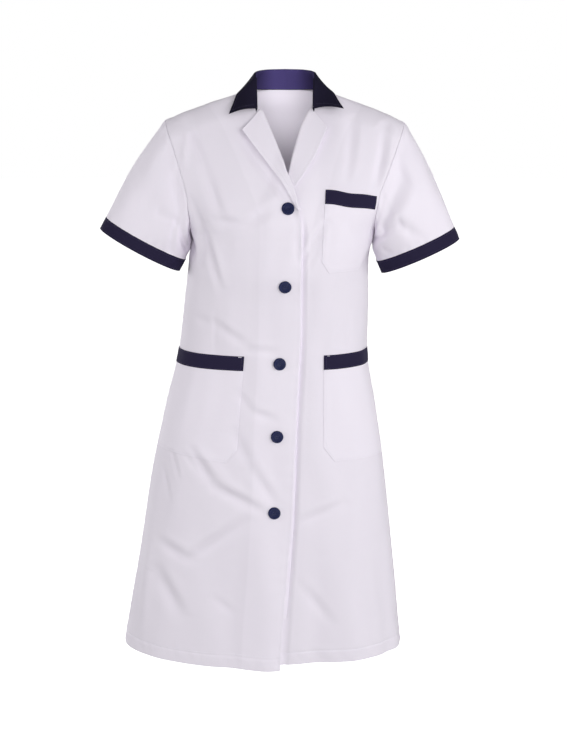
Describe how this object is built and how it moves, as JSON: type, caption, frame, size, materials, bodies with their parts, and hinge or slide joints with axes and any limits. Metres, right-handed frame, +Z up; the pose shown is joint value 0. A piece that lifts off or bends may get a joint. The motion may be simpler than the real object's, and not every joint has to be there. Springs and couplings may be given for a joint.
{
  "type": "work blouse",
  "caption": "Hollow short-sleeved work blouse, knee-length and buttoned down the front, white with navy collar, cuffs and pocket bands.",
  "frame": {"origin": "middle of the neck, level with the neck ends of the shoulder seams, where the wearer's shoulders hold the garment", "axes": "+Z up, the front faces -Y, +X towards the wearer's left side"},
  "size_m": [0.6002, 0.2722, 0.9941],
  "materials": {
    "white_cloth": "white polyester and cotton twill, lightly calendered",
    "navy_cloth": "navy polyester and cotton twill",
    "button": "navy polyester resin, polished rim"
  },
  "bodies": {
    "root": {"back": "white_cloth", "front_right": "white_cloth", "front_left": "white_cloth", "sleeve_right": "white_cloth", "sleeve_left": "white_cloth", "lapel_right": "white_cloth", "lapel_left": "white_cloth", "chest_pocket": "white_cloth", "hip_pocket_right": "white_cloth", "hip_pocket_left": "white_cloth", "cuff_right": "navy_cloth", "cuff_left": "navy_cloth", "collar": "navy_cloth", "chest_pocket_band": "navy_cloth", "hip_pocket_band_right": "navy_cloth", "hip_pocket_band_left": "navy_cloth", "button_1": "button", "button_2": "button", "button_3": "button", "button_4": "button", "button_5": "button"}
  },
  "joints": []
}
